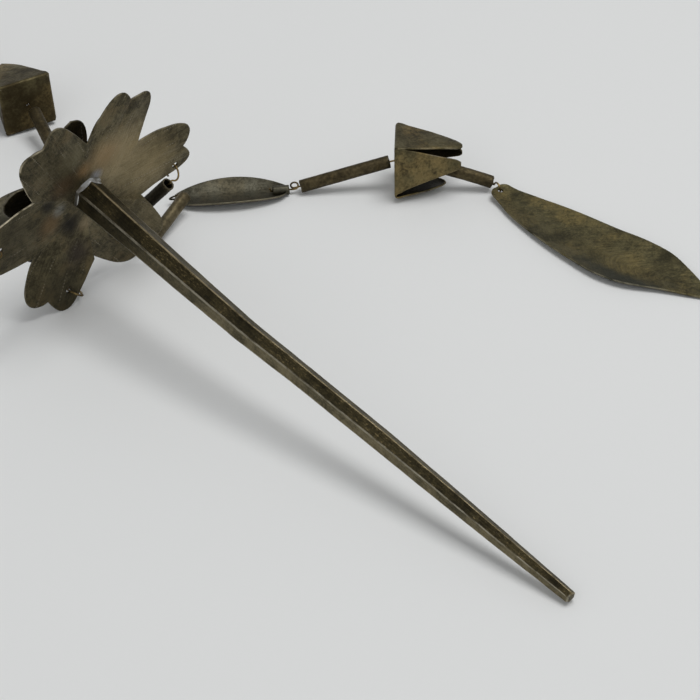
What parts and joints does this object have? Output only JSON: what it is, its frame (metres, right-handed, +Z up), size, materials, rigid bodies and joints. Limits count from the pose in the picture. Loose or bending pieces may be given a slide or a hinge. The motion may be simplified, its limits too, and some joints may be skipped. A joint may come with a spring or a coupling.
{
  "type": "hair stick with flower and dangling drops",
  "caption": "Patinated metal hair stick with a two-layer sheet flower at its head and strands of tubes, boats, bells and long leaves wired to the petals.",
  "frame": {"origin": "middle of the object's outline on the table, at the table's surface", "axes": "+X across the flower, +Y along the stick from its tip toward the flower, +Z up from the table"},
  "size_m": [0.1396, 0.3209, 0.0551],
  "materials": {
    "dark_silver": "dark, worn patina over hand-chased low silver, with bright edges",
    "olive_silver": "yellowish sheet alloy with a dull olive tarnish",
    "tube_brass": "rough rolled tube, brown tarnish",
    "wire": "drawn wire, lightly tarnished"
  },
  "bodies": {
    "root": {"pin": "dark_silver", "front_petals": "dark_silver", "right_ring_wire": "wire", "right_first_tube": "tube_brass", "right_link_wire": "wire", "right_second_tube": "tube_brass", "right_boat": "olive_silver", "right_thread_wire": "wire", "right_third_tube": "tube_brass", "right_bell": "olive_silver", "right_curved_tube": "tube_brass", "right_leaf": "olive_silver", "lower_ring_wire": "wire", "lower_first_tube": "tube_brass", "lower_link_wire": "wire", "lower_second_tube": "tube_brass", "lower_boat": "olive_silver", "lower_thread_wire": "wire", "lower_third_tube": "tube_brass", "lower_bell": "olive_silver", "lower_curved_tube": "tube_brass", "lower_leaf": "olive_silver", "left_ring_wire": "wire", "left_first_tube": "tube_brass", "left_link_wire": "wire", "left_second_tube": "tube_brass", "left_boat": "olive_silver", "left_thread_wire": "wire", "left_third_tube": "tube_brass", "left_bell": "olive_silver", "left_curved_tube": "tube_brass", "left_leaf": "olive_silver"}
  },
  "joints": []
}
